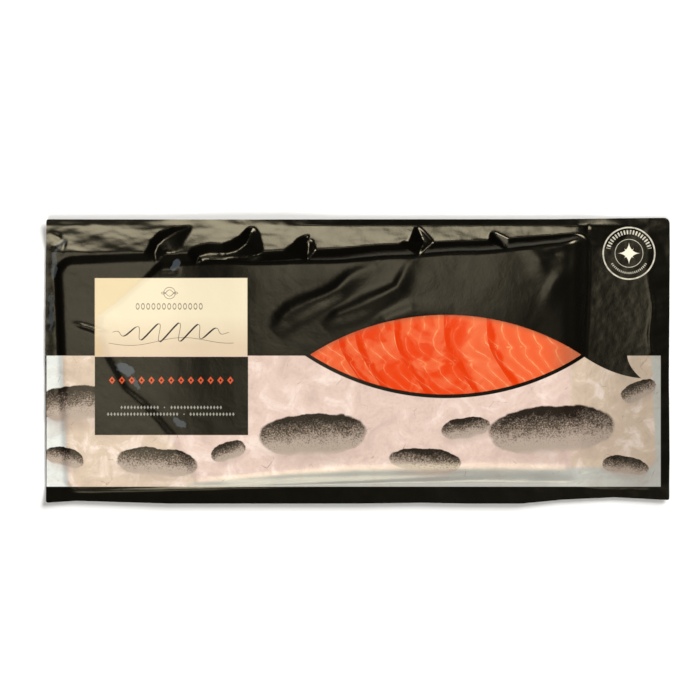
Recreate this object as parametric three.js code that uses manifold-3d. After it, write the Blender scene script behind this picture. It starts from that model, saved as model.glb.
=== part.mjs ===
// A vacuum pack of sliced smoked salmon: a flat pouch of printed film drawn tight over a board and a
// stack of slices, with a lens-shaped clear window in its face.
// Millimetres, +Z up. The pack lies on its back: X along its length, Y across it, Z its thickness.
// Origin: middle of the underside.
import * as THREE from 'three';
import { mergeVertices } from 'three/addons/utils/BufferGeometryUtils.js';
import Module from 'manifold-3d';

// ---- driving dimensions ----
const packLength = 380;
const packWidth = 174;
const cornerRadius = 2.5;
const rimThickness = 0.9; // the two webs sealed together
const leastThickness = 0.4; // where a furrow thins them
const underSlope = 0.6; // how steeply the lower web leaves the board's edge

// the rim: how wide a band of it rises, and how far
const bottomCurl = { band: 12, height: 3.2 };
const leftLift = { band: 7, height: 0.4 };
const rightRise = { band: 13, height: 0.9, from: 120, to: 150 };

// the top flange, measured in from its cut edge
const flangeRidgeIn = 5;
const flangeInnerIn = 21;
const flangeFadeIn = 34;
const flangeCurve = 1.1;

// at each X: its height at the cut edge, along its ridge and where it meets the wall
const topFlange = [
  [-190, 4.6, 4.2, 1.0],
  [-126, 5.0, 4.3, 1.1],
  [-108, 5.8, 4.5, 1.4],
  [-80, 6.6, 5.6, 1.5],
  [-45, 6.9, 6.1, 1.5],
  [-12, 3.6, 6.1, 1.6],
  [80, 3.6, 6.2, 1.8],
  [134, 3.5, 6.0, 1.9],
  [164, 1.8, 2.2, 1.2],
  [190, 1.4, 1.5, 1.1],
];

// the board lies a little askew
const board = {
  centreY: -3.7,
  turn: 2.35, // degrees
  half: [178.5, 69.7],
  corner: 8,
  top: 2.5,
  slopes: [0.55, 0.36, 0.9], // of the film past its ends, its far edge and its near edge
  soft: 0.7,
  sagFrom: 133, // past this X the film runs down at this slope
  sagSlope: 0.03,
};

// the fish on it: its top edge, its bottom edge and its thickness along X
const fish = {
  right: 131,
  crest: [[-190, 57.5], [-110, 59.0], [-35, 59.3], [-10, 60.4], [17, 62.3], [44, 64.4], [72, 65.4],
    [106, 68.4], [131, 72]],
  foot: [[-190, -79.5], [-113, -75], [-86, -71.5], [-37, -67], [0, -65], [75, -64], [131, -64.5]],
  thick: [[-160, 0.35], [-120, 0.8], [-105, 1.4], [-66, 5.2], [-35, 6.4], [-10, 7.8], [20, 8.9],
    [90, 8.9], [131, 7.8]],
  crestWave: { height: 0.3, length: 7.5 },
  // where its thin end lies, along Y
  thinEnd: [[-80, -92], [-45, -112], [-26, -129], [-17, -140], [2, -151], [20, -156], [27, -155],
    [35, -144], [50, -127], [60, -117]],
  // it thins towards -Y: from this Y, over this much, by this share
  belly: { from: 50, over: 115, share: 0.65, power: 1.25 },
  slopes: [1.1, 0.45, 0.85, 0.3], // of the film past its top, bottom, right and thin ends
  softs: [0.5, 1.6, 2.2, 0.8],
  dome: { height: 0.5, reach: 44 },
  swell: { height: 0.4, alongX: 34, alongY: 27 },
};

// pleats like tents: points with heights along the crest, slope to its left and to its right
const tents = [
  { crest: [[-122.6, 59.5, 2.6], [-123.9, 65.4, 3.9], [-122, 70.5, 4.9], [-117.5, 74.4, 5.8],
    [-109.7, 78.3, 6.1], [-102, 80.2, 5.2]], left: 0.5, right: 0.45 },
  { crest: [[-98.7, 59.5, 4.6], [-97.4, 63.4, 5.2], [-90.3, 64.7, 5.9], [-81.3, 64.7, 6.3],
    [-73.5, 67.9, 7.0], [-67.7, 71.8, 7.6], [-65.1, 77.6, 7.4]], left: 0.6, right: 0.55 },
  { crest: [[-31, 60.5, 8.6], [-30.5, 71.5, 6.4]], left: 0.42, right: 1.3 },
  { crest: [[36, 62, 11.2], [39.5, 72, 9.4], [36.5, 80.5, 6.9]], left: 0.6, right: 1.1 },
  { crest: [[90, 67, 10.4], [84, 77, 6.6]], left: 0.7, right: 1.2 },
];
const tentReach = 40;

// soft folds: their line with its heights, negative for a furrow, and half width to its left and right
const folds = [
  { line: [[-52, 17, 0], [-46, 25, 0.9], [-40, 30, 1.1], [-28, 37, 1.2], [-12, 44, 1.1],
    [8, 57, 0.3]], left: 5.5, right: 9 },
  { line: [[-20, 20, 0], [-12, 27, 0.7], [3, 34, 0.9], [17, 41, 0.9], [25, 45, 0.8],
    [31, 57, 0.3]], left: 5, right: 8 },
  { line: [[8, 20, 0], [16, 24, 0.5], [32, 29.5, 0.6], [58, 32, 0]], left: 6, right: 10 },
  { line: [[-124, 53, 0], [-119, 54, 0.5], [-112, 55, 0.5], [-108, 55, 0]], left: 3.5, right: 4 },
  { line: [[-175, 22, 0], [-168, 20, -0.5], [-157, 18, -0.5], [-150, 18, 0]], left: 1.8, right: 1.8 },
  { line: [[103, 68, 0.2], [111, 60, 0.5], [115, 46, 0]], left: 6, right: 8 },
  { line: [[112, 63, 0], [119, 65, -0.4], [130, 68, 0]], left: 4, right: 4 },
  { line: [[110, 30, 0], [117, 42, 0.5], [123, 51, 0.5], [131, 60, 0.1]], left: 5, right: 8 },
  { line: [[140.6, 78.2, -0.7], [140.6, 80, -0.7]], left: 1.3, right: 1.3 },
  { line: [[177.5, 55, 0], [178.4, 34, 0.4], [179, 4, 0.4]], left: 1.2, right: 1.8 },
  { line: [[-186, 78, 0.2], [-182, 75, 0.5], [-179, 71, 0.1]], left: 2.2, right: 2.8 },
  { line: [[-181, 66, 0.1], [-179, 70, 0.4], [-177, 74, 0]], left: 1.8, right: 2.0 },
  { line: [[-186, 70, -0.35], [-178, 73, 0]], left: 1.4, right: 1.4 },
];
// how the pleats and folds wander from their lines
const wander = { reach: 0.9, first: 6.1, second: 9.7, twist: 1.4 };

const evening = [-9, -4.5, 0, 4.5, 9]; // mm along X over which the fish's thickness is evened out

// how softly neighbouring surfaces run together
const boardBlend = 0.5;
const fishBlend = 0.7;
const tentBlend = 0.4;

// the clear window: two equal arcs that meet in points
const windowCentre = [53.6, 3.5];
const windowHalfLength = 82.4;
const windowHalfWidth = 24.2;
const windowPointBlunt = 0.25; // half the width of each point's end
const windowFilm = 0.5;
const gap = 0.3; // clearance between neighbouring solids
const pocketFloor = 1.9;

// the slices seen through it, each one's far edge lying over the next
const sliceEdges = [-12.5, -2, 22, 52, 78]; // where an edge crosses the window above its bend
const bend = { y: 8, slope: 0.68, softness: 4 };
const sliceStep = 0.3; // how far a slice dips to pass under its neighbour
const sliceSlant = 3.6; // mm an edge runs back for each mm of depth

// mesh density
const faceCells = [192, 88];
const underCells = [64, 40];
const windowCells = [42, 10];
const sliceCells = [5, 10, 2];
const windowArcSteps = 26;
const cornerArcSteps = 4;
const cutTop = 40; // cutters end well above the pack
const closeness = 0.02; // how nearly a simplified solid keeps to its form
const pouchCloseness = 0.09;

// ---- helpers ----
const clamp01 = (t) => Math.min(1, Math.max(0, t));
const smooth = (t) => clamp01(t) ** 2 * (3 - 2 * clamp01(t));
const ramp = (a, b, t) => smooth((t - a) / (b - a));

/** The greater of two heights, with a soft seam where they are near each other. */
function smoothMax(a, b, softness) {
  const near = Math.max(softness - Math.abs(a - b), 0) / softness;
  return Math.max(a, b) + (near ** 2 * softness) / 4;
}

/** How far a film comes down: nothing inside an edge, and a steady slope past it. */
function drop(slope, distance, soft) {
  if (distance > 20 * soft) {
    return slope * distance;
  }
  return slope * soft * Math.log1p(Math.exp(distance / soft));
}

/** The values of a table's rows at this X, its first column. */
function tableAt(table, x) {
  const next = Math.max(1, table.findIndex((row, i) => i === table.length - 1 || x <= row[0]));
  const [fromX, ...from] = table[next - 1];
  const [toX, ...to] = table[next];
  const t = clamp01((x - fromX) / (toX - fromX));
  return from.map((value, i) => value + (to[i] - value) * t);
}

const wasm = await Module();
wasm.setup();

/** A closed three.js geometry as a solid that can be cut and joined. */
function solidOf(geometry) {
  const bare = geometry.index ? geometry.toNonIndexed() : geometry.clone();
  bare.deleteAttribute('normal');
  bare.deleteAttribute('uv');
  const merged = mergeVertices(bare, 1e-4);
  const mesh = new wasm.Mesh({
    numProp: 3,
    vertProperties: new Float32Array(merged.attributes.position.array),
    triVerts: new Uint32Array(merged.index.array),
  });
  return new wasm.Manifold(mesh);
}

/** A solid back as a three.js geometry, with no more triangles than its form needs. */
function geometryOf(solid, tolerance) {
  const { vertProperties, triVerts } = solid.simplify(tolerance).getMesh();
  const geometry = new THREE.BufferGeometry();
  geometry.setAttribute('position', new THREE.BufferAttribute(new Float32Array(vertProperties), 3));
  geometry.setIndex(new THREE.BufferAttribute(new Uint32Array(triVerts), 1));
  return geometry;
}

/** A unit box with its vertices moved by place(u, v, w), each of them 0 to 1. */
function mappedBox(cells, place) {
  const geometry = new THREE.BoxGeometry(1, 1, 1, ...cells);
  const { position } = geometry.attributes;
  for (let i = 0; i < position.count; i += 1) {
    const point = place(position.getX(i) + 0.5, position.getY(i) + 0.5, position.getZ(i) + 0.5);
    position.setXYZ(i, ...point);
  }
  return geometry;
}

/** A flat shape stood up as a tall prism, to cut with. */
function prism(shape, arcSteps, bottom, top) {
  const geometry = new THREE.ExtrudeGeometry(shape, {
    depth: top - bottom,
    bevelEnabled: false,
    curveSegments: arcSteps,
  });
  return solidOf(geometry.translate(0, 0, bottom));
}

// ---- the form of the pack's face ----
const boardTurn = THREE.MathUtils.degToRad(board.turn);

/** How far a point lies past the board's ends and past its long edges. */
function boardSides(x, y) {
  const dy = y - board.centreY;
  const along = x * Math.cos(boardTurn) + dy * Math.sin(boardTurn);
  const across = dy * Math.cos(boardTurn) - x * Math.sin(boardTurn);
  return [Math.abs(along) - board.half[0], Math.abs(across) - board.half[1]];
}

/** The film over the board alone, its corners rounded. */
function boardSurface(x, y) {
  const [pastEnd, pastEdge] = boardSides(x, y);
  const [endSlope, farSlope, nearSlope] = board.slopes;
  const edgeSlope = y > board.centreY ? farSlope : nearSlope;
  const a = Math.max(pastEnd + board.corner, 0);
  const b = Math.max(pastEdge + board.corner, 0);
  const past = Math.hypot(a, b) - board.corner;
  const slope = (endSlope * a + edgeSlope * b) / Math.max(a + b, 1e-9);
  const sag = board.sagSlope * Math.max(0, x - board.sagFrom);
  return board.top - sag - drop(slope, past, board.soft);
}

/** How far the film has come down from the fish at this point. */
function fishDrop(x, y) {
  const { height, length } = fish.crestWave;
  const [crest] = tableAt(fish.crest, x);
  const [foot] = tableAt(fish.foot, x);
  const [thinEnd] = tableAt(fish.thinEnd, y);
  const sides = [
    y - crest - height * Math.sin(x / length),
    foot - y,
    x - fish.right,
    thinEnd - x,
  ];
  const downs = sides.map((past, i) => drop(fish.slopes[i], past, fish.softs[i]));
  return Math.hypot(Math.max(downs[0], downs[1]), Math.max(downs[2], downs[3]));
}

/** The film over the fish: crowned a little across its width, and uneven from slice to slice. */
function fishSurface(x, y) {
  const { dome, swell } = fish;
  const uneven = swell.height * Math.sin(x / swell.alongX) * Math.cos(y / swell.alongY);
  const crown = dome.height * Math.cos(y / dome.reach);
  const { from, over, share, power } = fish.belly;
  const atBack = evening.reduce((sum, step) => sum + tableAt(fish.thick, x + step)[0], 0);
  const thinned = 1 - share * clamp01((from - y) / over) ** power;
  const thick = (atBack / evening.length) * thinned;
  const grown = ramp(fish.thick[0][0], 0, x);
  return board.top + thick + (uneven + crown) * grown - fishDrop(x, y);
}

/** The upper web where nothing lies under it. */
function rimHeight(x, y) {
  const [edge, ridge, inner] = tableAt(topFlange, x);
  const inTop = packWidth / 2 - y;
  let flange;
  if (inTop < flangeRidgeIn) {
    flange = edge + ((ridge - edge) * inTop) / flangeRidgeIn;
  } else if (inTop < flangeInnerIn) {
    const t = (flangeInnerIn - inTop) / (flangeInnerIn - flangeRidgeIn);
    flange = inner + (ridge - inner) * t ** flangeCurve;
  } else {
    flange = inner + (rimThickness - inner) * ramp(flangeInnerIn, flangeFadeIn, inTop);
  }
  const bottom = bottomCurl.height * (1 - clamp01((y + packWidth / 2) / bottomCurl.band));
  const left = leftLift.height * (1 - smooth((x + packLength / 2) / leftLift.band));
  const rightReach = clamp01((packLength / 2 - x) / rightRise.band);
  const right = rightRise.height * rightReach * ramp(rightRise.from, rightRise.to, x);
  return Math.max(flange, rimThickness + Math.max(bottom, left, right));
}

/** The lower web: flat under the board, then up to meet the upper one. */
function underHeight(x, y) {
  const past = Math.max(...boardSides(x, y));
  return Math.max(0, Math.min(rimHeight(x, y) - rimThickness, underSlope * past));
}

/** The nearest point of a line: how far off it is, on which side, and the line's height there. */
function nearestOf(points, x, y) {
  let best = { off: Infinity, side: 1, height: 0 };
  for (let i = 1; i < points.length; i += 1) {
    const [ax, ay, az] = points[i - 1];
    const [bx, by, bz] = points[i];
    const alongX = bx - ax;
    const alongY = by - ay;
    const t = clamp01(((x - ax) * alongX + (y - ay) * alongY) / (alongX ** 2 + alongY ** 2));
    const offX = x - ax - alongX * t;
    const offY = y - ay - alongY * t;
    const off = Math.hypot(offX, offY);
    if (off < best.off) {
      best = { off, side: alongX * offY - alongY * offX, height: az + (bz - az) * t };
    }
  }
  return best;
}

/** The height that one soft fold adds. */
function foldHeight(fold, x, y) {
  const { off, side, height } = nearestOf(fold.line, x, y);
  const width = side > 0 ? fold.left : fold.right;
  return height * Math.exp(-2 * (off / width) ** 2);
}

/** The surface of one pleat, which falls away from its crest like a tent. */
function tentSurface(tent, x, y) {
  const { off, side, height } = nearestOf(tent.crest, x, y);
  return off > tentReach ? 0 : height - off * (side > 0 ? tent.left : tent.right);
}

/** The film's upper surface. */
function faceHeight(x, y) {
  const { reach, first, second, twist } = wander;
  const swayX = x + reach * Math.sin(y / first + twist * Math.sin(x / second));
  const swayY = y + reach * Math.sin(x / first + twist * Math.sin(y / second));
  let height = smoothMax(rimHeight(x, y), boardSurface(x, y), boardBlend);
  height = smoothMax(height, fishSurface(x, y), fishBlend);
  for (const tent of tents) {
    height = smoothMax(height, tentSurface(tent, swayX, swayY), tentBlend);
  }
  for (const fold of folds) {
    height += foldHeight(fold, swayX, swayY);
  }
  return Math.max(height, underHeight(x, y) + leastThickness);
}

// ---- outlines seen from above ----
function packOutline() {
  const x = packLength / 2;
  const y = packWidth / 2;
  const r = cornerRadius;
  const shape = new THREE.Shape();
  shape.moveTo(-x + r, -y);
  shape.lineTo(x - r, -y);
  shape.absarc(x - r, -y + r, r, -Math.PI / 2, 0);
  shape.absarc(x - r, y - r, r, 0, Math.PI / 2);
  shape.absarc(-x + r, y - r, r, Math.PI / 2, Math.PI);
  shape.absarc(-x + r, -y + r, r, Math.PI, 1.5 * Math.PI);
  return shape;
}

/** The window's lens, drawn in from its edge by inset and blunted at its points. */
function lensOutline(inset) {
  const [cx, cy] = windowCentre;
  const radius = (windowHalfLength ** 2 + windowHalfWidth ** 2) / (2 * windowHalfWidth);
  const below = radius - windowHalfWidth;
  const reach = Math.sqrt((radius - inset) ** 2 - below ** 2);
  const half = Math.atan2(reach, below + windowPointBlunt);
  const shape = new THREE.Shape();
  shape.absarc(cx, cy - below, radius - inset, Math.PI / 2 - half, Math.PI / 2 + half);
  shape.absarc(cx, cy + below, radius - inset, 1.5 * Math.PI - half, 1.5 * Math.PI + half);
  return shape;
}

/** The window's outline as a tall cutter that starts at this height. */
const lensPrism = (inset, bottom) => prism(lensOutline(inset), windowArcSteps, bottom, cutTop);

// ---- the pieces ----
/** The pouch: both webs, the board and the unseen fish as one closed body, with a pocket for the window. */
function pouch() {
  const over = 2; // the blank overhangs the outline that trims it
  const deep = 5; // and reaches below the underside that is cut from it
  const block = (cells, lower, upper, grow) => solidOf(mappedBox([...cells, 1], (u, v, w) => {
    const x = (2 * u - 1) * (packLength / 2 + grow);
    const y = (2 * v - 1) * (packWidth / 2 + grow);
    return [x, y, w > 0.5 ? upper(x, y) : lower];
  }));
  const outline = prism(packOutline(), cornerArcSteps, -2 * deep, cutTop);
  const blank = block(faceCells, -deep, faceHeight, over).intersect(outline);
  const trimmed = blank.subtract(block(underCells, -2 * deep, underHeight, 2 * over));
  return trimmed.subtract(lensPrism(0, pocketFloor));
}

/** A sheet over the window that follows the pack's face, from one depth below it to another. */
function windowSheet(depth, thickness) {
  const over = 2; // past the window's edge, to be trimmed
  return solidOf(mappedBox([...windowCells, 1], (u, v, w) => {
    const x = windowCentre[0] + (2 * u - 1) * (windowHalfLength + over);
    const y = windowCentre[1] + (2 * v - 1) * (windowHalfWidth + over);
    return [x, y, faceHeight(x, y) - depth + w * thickness];
  }));
}

/** The clear film over the window, flush with the printed film round it. */
function windowPane() {
  return windowSheet(windowFilm, windowFilm).intersect(lensPrism(gap, -1));
}

/** How far a slice's edge has swung along X at this Y: straight down to the bend, then slanting. */
function sliceBend(y) {
  const below = (bend.y - y) / bend.softness;
  return bend.slope * bend.softness * Math.log1p(Math.exp(below));
}

/** One slice: a slanting slab between two edges, trimmed to the window. */
function slice(start, end) {
  const [cx, cy] = windowCentre;
  const edgeGap = (gap / 2) * Math.hypot(1, sliceSlant);
  const slabDepth = board.top + tableAt(fish.thick, cx)[0];
  const slab = mappedBox(sliceCells, (u, v, w) => {
    const y = cy + (v - 0.5) * 2 * (windowHalfWidth + 2);
    const depth = (1 - w) * slabDepth;
    const across = start + edgeGap + u * (end - start - 2 * edgeGap);
    const x = across + sliceBend(y) - sliceSlant * depth;
    const surface = faceHeight(across + sliceBend(y), y) - windowFilm - gap;
    return [x, y, surface - sliceStep * (1 - u) - depth];
  });
  const room = lensPrism(gap, pocketFloor + gap);
  const underFilm = solidOf(slab).subtract(windowSheet(windowFilm + gap, cutTop));
  return underFilm.intersect(room);
}

// ---- materials ----
const colours = {
  film: new THREE.MeshStandardMaterial({ color: 0x2b2821, roughness: 0.25, metalness: 0 }),
  pane: new THREE.MeshStandardMaterial({
    color: 0xf2ece4,
    roughness: 0.08,
    metalness: 0,
    transparent: true,
    opacity: 0.3,
  }),
  salmon: new THREE.MeshStandardMaterial({ color: 0xf06c3a, roughness: 0.35, metalness: 0 }),
};

// ---- the pack ----
const pack = new THREE.Group();

function add(name, solid, material, tolerance = closeness) {
  const mesh = new THREE.Mesh(geometryOf(solid, tolerance), material);
  mesh.name = name;
  pack.add(mesh);
}

add('pouch', pouch(), colours.film, pouchCloseness);
add('window_film', windowPane(), colours.pane);

const endReach = 60; // the outer slices run this far past the window's points before they are trimmed
const starts = [windowCentre[0] - windowHalfLength - endReach, ...sliceEdges];
const ends = [...sliceEdges, windowCentre[0] + windowHalfLength + endReach];
starts.forEach((start, i) => {
  add(`salmon_slice_${i + 1}`, slice(start, ends[i]), colours.salmon);
});

export default pack;
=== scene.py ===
from math import atan2, copysign, cos, exp, hypot, log1p, radians, sin, sqrt, tau
import bmesh
import bpy
from mathutils import Matrix, Vector, noise


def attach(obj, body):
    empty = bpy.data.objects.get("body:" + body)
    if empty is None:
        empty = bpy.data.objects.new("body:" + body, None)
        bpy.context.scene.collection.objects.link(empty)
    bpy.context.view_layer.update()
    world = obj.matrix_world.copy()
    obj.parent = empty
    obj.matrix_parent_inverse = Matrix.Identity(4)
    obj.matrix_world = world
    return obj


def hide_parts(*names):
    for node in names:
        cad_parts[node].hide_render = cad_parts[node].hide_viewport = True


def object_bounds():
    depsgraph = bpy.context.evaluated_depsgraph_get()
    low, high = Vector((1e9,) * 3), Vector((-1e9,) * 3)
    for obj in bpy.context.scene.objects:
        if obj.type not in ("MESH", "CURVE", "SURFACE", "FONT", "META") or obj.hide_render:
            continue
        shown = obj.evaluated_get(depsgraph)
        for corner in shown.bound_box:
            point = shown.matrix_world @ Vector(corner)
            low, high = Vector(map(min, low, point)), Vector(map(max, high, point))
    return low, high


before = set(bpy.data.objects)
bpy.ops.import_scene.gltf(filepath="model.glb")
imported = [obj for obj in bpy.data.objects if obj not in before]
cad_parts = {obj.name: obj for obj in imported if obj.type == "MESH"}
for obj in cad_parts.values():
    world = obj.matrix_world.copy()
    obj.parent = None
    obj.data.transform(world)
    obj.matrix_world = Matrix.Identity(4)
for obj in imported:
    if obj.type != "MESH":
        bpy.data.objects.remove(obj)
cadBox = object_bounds()
mm = 0.001

# worked out in millimetres, and brought to metres as each mesh is finished
packLow, packHigh = (Vector(corner) / mm for corner in cadBox)
packLength = packHigh.x - packLow.x
packWidth = packHigh.y - packLow.y
halfX, halfY = packLength / 2, packWidth / 2

form = {
    "rimThickness": 0.9,  # the two webs sealed together
    "leastThickness": 0.4,  # where folds thin it
    "underSlope": 0.6,  # how steeply the lower web leaves the board's edge
    "ridgeIn": 5, "innerIn": 21, "fadeIn": 34,  # across the top flange from its edge
    "ridgeCurve": 1.1,
    "bottomCurl": (12, 3.2), "leftLift": (7, 0.4),  # band, height
    "rightRise": (13, 0.9, 120, 150),  # the same, and where it fades in along X
    "warp": (0.9, 6.1, 9.7, 1.4),  # how far the folds wander, two rhythms, twist
    "blends": (0.5, 0.7, 0.4),  # how softly board, fish and tents run into the rest
    "tentReach": 40,
}
# the top flange at these X: height at its cut edge, along its ridge and where it meets the wall
topFlange = [
    (-190, 4.6, 4.2, 1), (-126, 5, 4.3, 1.1), (-108, 5.8, 4.5, 1.4), (-80, 6.6, 5.6, 1.5),
    (-45, 6.9, 6.1, 1.5), (-12, 3.6, 6.1, 1.6), (80, 3.6, 6.2, 1.8), (134, 3.5, 6, 1.9),
    (164, 1.8, 2.2, 1.2), (190, 1.4, 1.5, 1.1),
]
board = {
    "centreY": -3.7, "turn": 2.35, "half": (178.5, 69.7), "corner": 8, "top": 2.5,
    "slopes": (0.55, 0.36, 0.9), "soft": 0.7,  # past its ends, its far edge and its near edge
    "sag": (133, 0.03),  # past this X the film runs down at this slope
}
fish = {
    "right": 131,
    # along X: its top edge, its bottom edge and how thick it lies
    "crest": ((-190, 57.5), (-110, 59), (-35, 59.3), (-10, 60.4), (17, 62.3), (44, 64.4), (72, 65.4),
              (106, 68.4), (131, 72)),
    "foot": ((-190, -79.5), (-113, -75), (-86, -71.5), (-37, -67), (0, -65), (75, -64), (131, -64.5)),
    "thick": ((-160, 0.35), (-120, 0.8), (-105, 1.4), (-66, 5.2), (-35, 6.4), (-10, 7.8), (20, 8.9),
              (90, 8.9), (131, 7.8)),
    "evening": (-9, -4.5, 0, 4.5, 9),  # mm along X that it is evened over
    # along Y: where its thin end lies
    "thinEnd": ((-80, -92), (-45, -112), (-26, -129), (-17, -140), (2, -151), (20, -156), (27, -155),
                (35, -144), (50, -127), (60, -117)),
    "belly": (50, 115, 0.65, 1.25),  # it thins towards -Y: from here, over this far, by this share, power
    "crestWave": (0.3, 7.5),  # height and rhythm
    "slopes": (1.1, 0.45, 0.85, 0.3),  # of the film past its top, bottom, right and thin ends
    "softs": (0.5, 1.6, 2.2, 0.8),
    "dome": (0.5, 44),  # height, rhythm along Y
    "swell": (0.4, 34, 27),  # height, rhythm along X and Y
}
# tent-like pleats: points with heights along the crest, slope to its left and right
tents = [
    (((-122.6, 59.5, 2.6), (-123.9, 65.4, 3.9), (-122, 70.5, 4.9), (-117.5, 74.4, 5.8),
      (-109.7, 78.3, 6.1), (-102, 80.2, 5.2)), 0.5, 0.45),
    (((-98.7, 59.5, 4.6), (-97.4, 63.4, 5.2), (-90.3, 64.7, 5.9), (-81.3, 64.7, 6.3),
      (-73.5, 67.9, 7), (-67.7, 71.8, 7.6), (-65.1, 77.6, 7.4)), 0.6, 0.55),
    (((-31, 60.5, 8.6), (-30.5, 71.5, 6.4)), 0.42, 1.3),
    (((36, 62, 11.2), (39.5, 72, 9.4), (36.5, 80.5, 6.9)), 0.6, 1.1),
    (((90, 67, 10.4), (84, 77, 6.6)), 0.7, 1.2),
]
# soft folds: points with heights, negative for a furrow, and half width to the left and right
folds = [
    (((-52, 17, 0), (-46, 25, 0.9), (-40, 30, 1.1), (-28, 37, 1.2), (-12, 44, 1.1), (8, 57, 0.3)), 5.5, 9),
    (((-20, 20, 0), (-12, 27, 0.7), (3, 34, 0.9), (17, 41, 0.9), (25, 45, 0.8), (31, 57, 0.3)), 5, 8),
    (((8, 20, 0), (16, 24, 0.5), (32, 29.5, 0.6), (58, 32, 0)), 6, 10),
    (((-124, 53, 0), (-119, 54, 0.5), (-112, 55, 0.5), (-108, 55, 0)), 3.5, 4),
    (((-175, 22, 0), (-168, 20, -0.5), (-157, 18, -0.5), (-150, 18, 0)), 1.8, 1.8),
    (((103, 68, 0.2), (111, 60, 0.5), (115, 46, 0)), 6, 8),
    (((112, 63, 0), (119, 65, -0.4), (130, 68, 0)), 4, 4),
    (((110, 30, 0), (117, 42, 0.5), (123, 51, 0.5), (131, 60, 0.1)), 5, 8),
    (((140.6, 78.2, -0.7), (140.6, 80, -0.7)), 1.3, 1.3),
    (((177.5, 55, 0), (178.4, 34, 0.4), (179, 4, 0.4)), 1.2, 1.8),
    (((-186, 78, 0.2), (-182, 75, 0.5), (-179, 71, 0.1)), 2.2, 2.8),
    (((-181, 66, 0.1), (-179, 70, 0.4), (-177, 74, 0)), 1.8, 2),
    (((-186, 70, -0.35), (-178, 73, 0)), 1.4, 1.4),
]

window = {
    "centre": (53.6, 3.5),
    "halfLength": 82.4, "halfWidth": 24.2,
    "arcSteps": 96,
    "blunt": 0.1,  # half the width of each point's end
    "outline": 2.2,  # black line round it
    "filmBelow": 0.12,  # the clear film lies this far under the print's edge
    "filmThickness": 0.1,
    "tuck": 1,  # and this far past it
    "cutBottom": -1, "cutTop": 40,
    "blank": (170.8, 54.4),  # film and slices before they are cut to its outline
    "spacing": 1,
}


def clamp01(t):
    return min(1, max(0, t))


def smooth(t):
    t = clamp01(t)
    return t * t * (3 - 2 * t)


def ramp(a, b, t):
    return smooth((t - a) / (b - a))


def smoothMax(a, b, softness):
    near = max(softness - abs(a - b), 0) / softness
    return max(a, b) + near * near * softness / 4


def drop(slope, distance, soft):  # nothing inside an edge, and a steady slope past it
    if distance > 20 * soft:  # the bend is long past
        return slope * distance
    return slope * soft * log1p(exp(distance / soft))


def boardPlace(x, y):  # the same point as the askew board sees it
    turn = radians(board["turn"])
    dy = y - board["centreY"]
    return x * cos(turn) + dy * sin(turn), dy * cos(turn) - x * sin(turn)


def boardSides(x, y):  # how far past its ends and past its long edges
    u, v = boardPlace(x, y)
    return abs(u) - board["half"][0], abs(v) - board["half"][1]


def boardOverhangs(x, y):  # the same, counted from where its corners begin to round
    pastEnd, pastEdge = boardSides(x, y)
    return max(pastEnd + board["corner"], 0), max(pastEdge + board["corner"], 0)


def pastBoard(x, y):  # how far past its rounded outline
    return hypot(*boardOverhangs(x, y)) - board["corner"]


def boardSurface(x, y):  # the film over the board alone
    endSlope, farSlope, nearSlope = board["slopes"]
    edgeSlope = farSlope if y > board["centreY"] else nearSlope
    sagFrom, sagSlope = board["sag"]
    a, b = boardOverhangs(x, y)
    slope = (endSlope * a + edgeSlope * b) / max(a + b, 1e-9)
    return board["top"] - sagSlope * max(0, x - sagFrom) - drop(slope, pastBoard(x, y), board["soft"])


def tableAt(table, x):  # the values of its rows at this X, their first
    after = next(i for i, row in enumerate(table) if i and (x <= row[0] or i == len(table) - 1))
    (fromX, *low), (toX, *high) = table[after - 1], table[after]
    t = clamp01((x - fromX) / (toX - fromX))
    return [a + (b - a) * t for a, b in zip(low, high)]


def fishDrop(x, y):  # how far the film has come down from the fish
    height, wavelength = fish["crestWave"]
    pastTop = y - tableAt(fish["crest"], x)[0] - height * sin(x / wavelength)
    pastFoot = tableAt(fish["foot"], x)[0] - y
    pastThinEnd = tableAt(fish["thinEnd"], y)[0] - x
    sides = (pastTop, pastFoot, x - fish["right"], pastThinEnd)
    downs = [drop(*facts) for facts in zip(fish["slopes"], sides, fish["softs"])]
    return hypot(max(downs[0], downs[1]), max(downs[2], downs[3]))


def fishSurface(x, y):  # crowned across its width and uneven from slice to slice
    swellHeight, swellX, swellY = fish["swell"]
    domeHeight, domeReach = fish["dome"]
    uneven = swellHeight * sin(x / swellX) * cos(y / swellY)
    uneven += domeHeight * cos(y / domeReach)
    grown = ramp(fish["thick"][0][0], 0, x)
    start, over, share, power = fish["belly"]
    thick = sum(tableAt(fish["thick"], x + step)[0] for step in fish["evening"]) / len(fish["evening"])
    thick *= 1 - share * clamp01((start - y) / over) ** power
    return board["top"] + thick + uneven * grown - fishDrop(x, y)


def rimHeight(x, y):  # the upper web where nothing lies under it
    edge, ridge, inner = tableAt(topFlange, x)
    inTop = halfY - y
    flat = form["rimThickness"]
    if inTop < form["ridgeIn"]:
        height = edge + (ridge - edge) * inTop / form["ridgeIn"]
    elif inTop < form["innerIn"]:
        t = (form["innerIn"] - inTop) / (form["innerIn"] - form["ridgeIn"])
        height = inner + (ridge - inner) * t ** form["ridgeCurve"]
    else:
        height = inner + (flat - inner) * ramp(form["innerIn"], form["fadeIn"], inTop)
    band, curl = form["bottomCurl"]
    bottom = flat + curl * (1 - clamp01((y + halfY) / band))
    band, lift = form["leftLift"]
    left = flat + lift * (1 - smooth((x + halfX) / band))
    band, rise, fadeFrom, fadeTo = form["rightRise"]
    right = flat + rise * clamp01((halfX - x) / band) * ramp(fadeFrom, fadeTo, x)
    return max(height, bottom, left, right)


def underHeight(x, y):  # the lower web: flat under the board, then up to meet the upper one
    past = max(boardSides(x, y))
    return max(0, min(rimHeight(x, y) - form["rimThickness"], form["underSlope"] * past))


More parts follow.
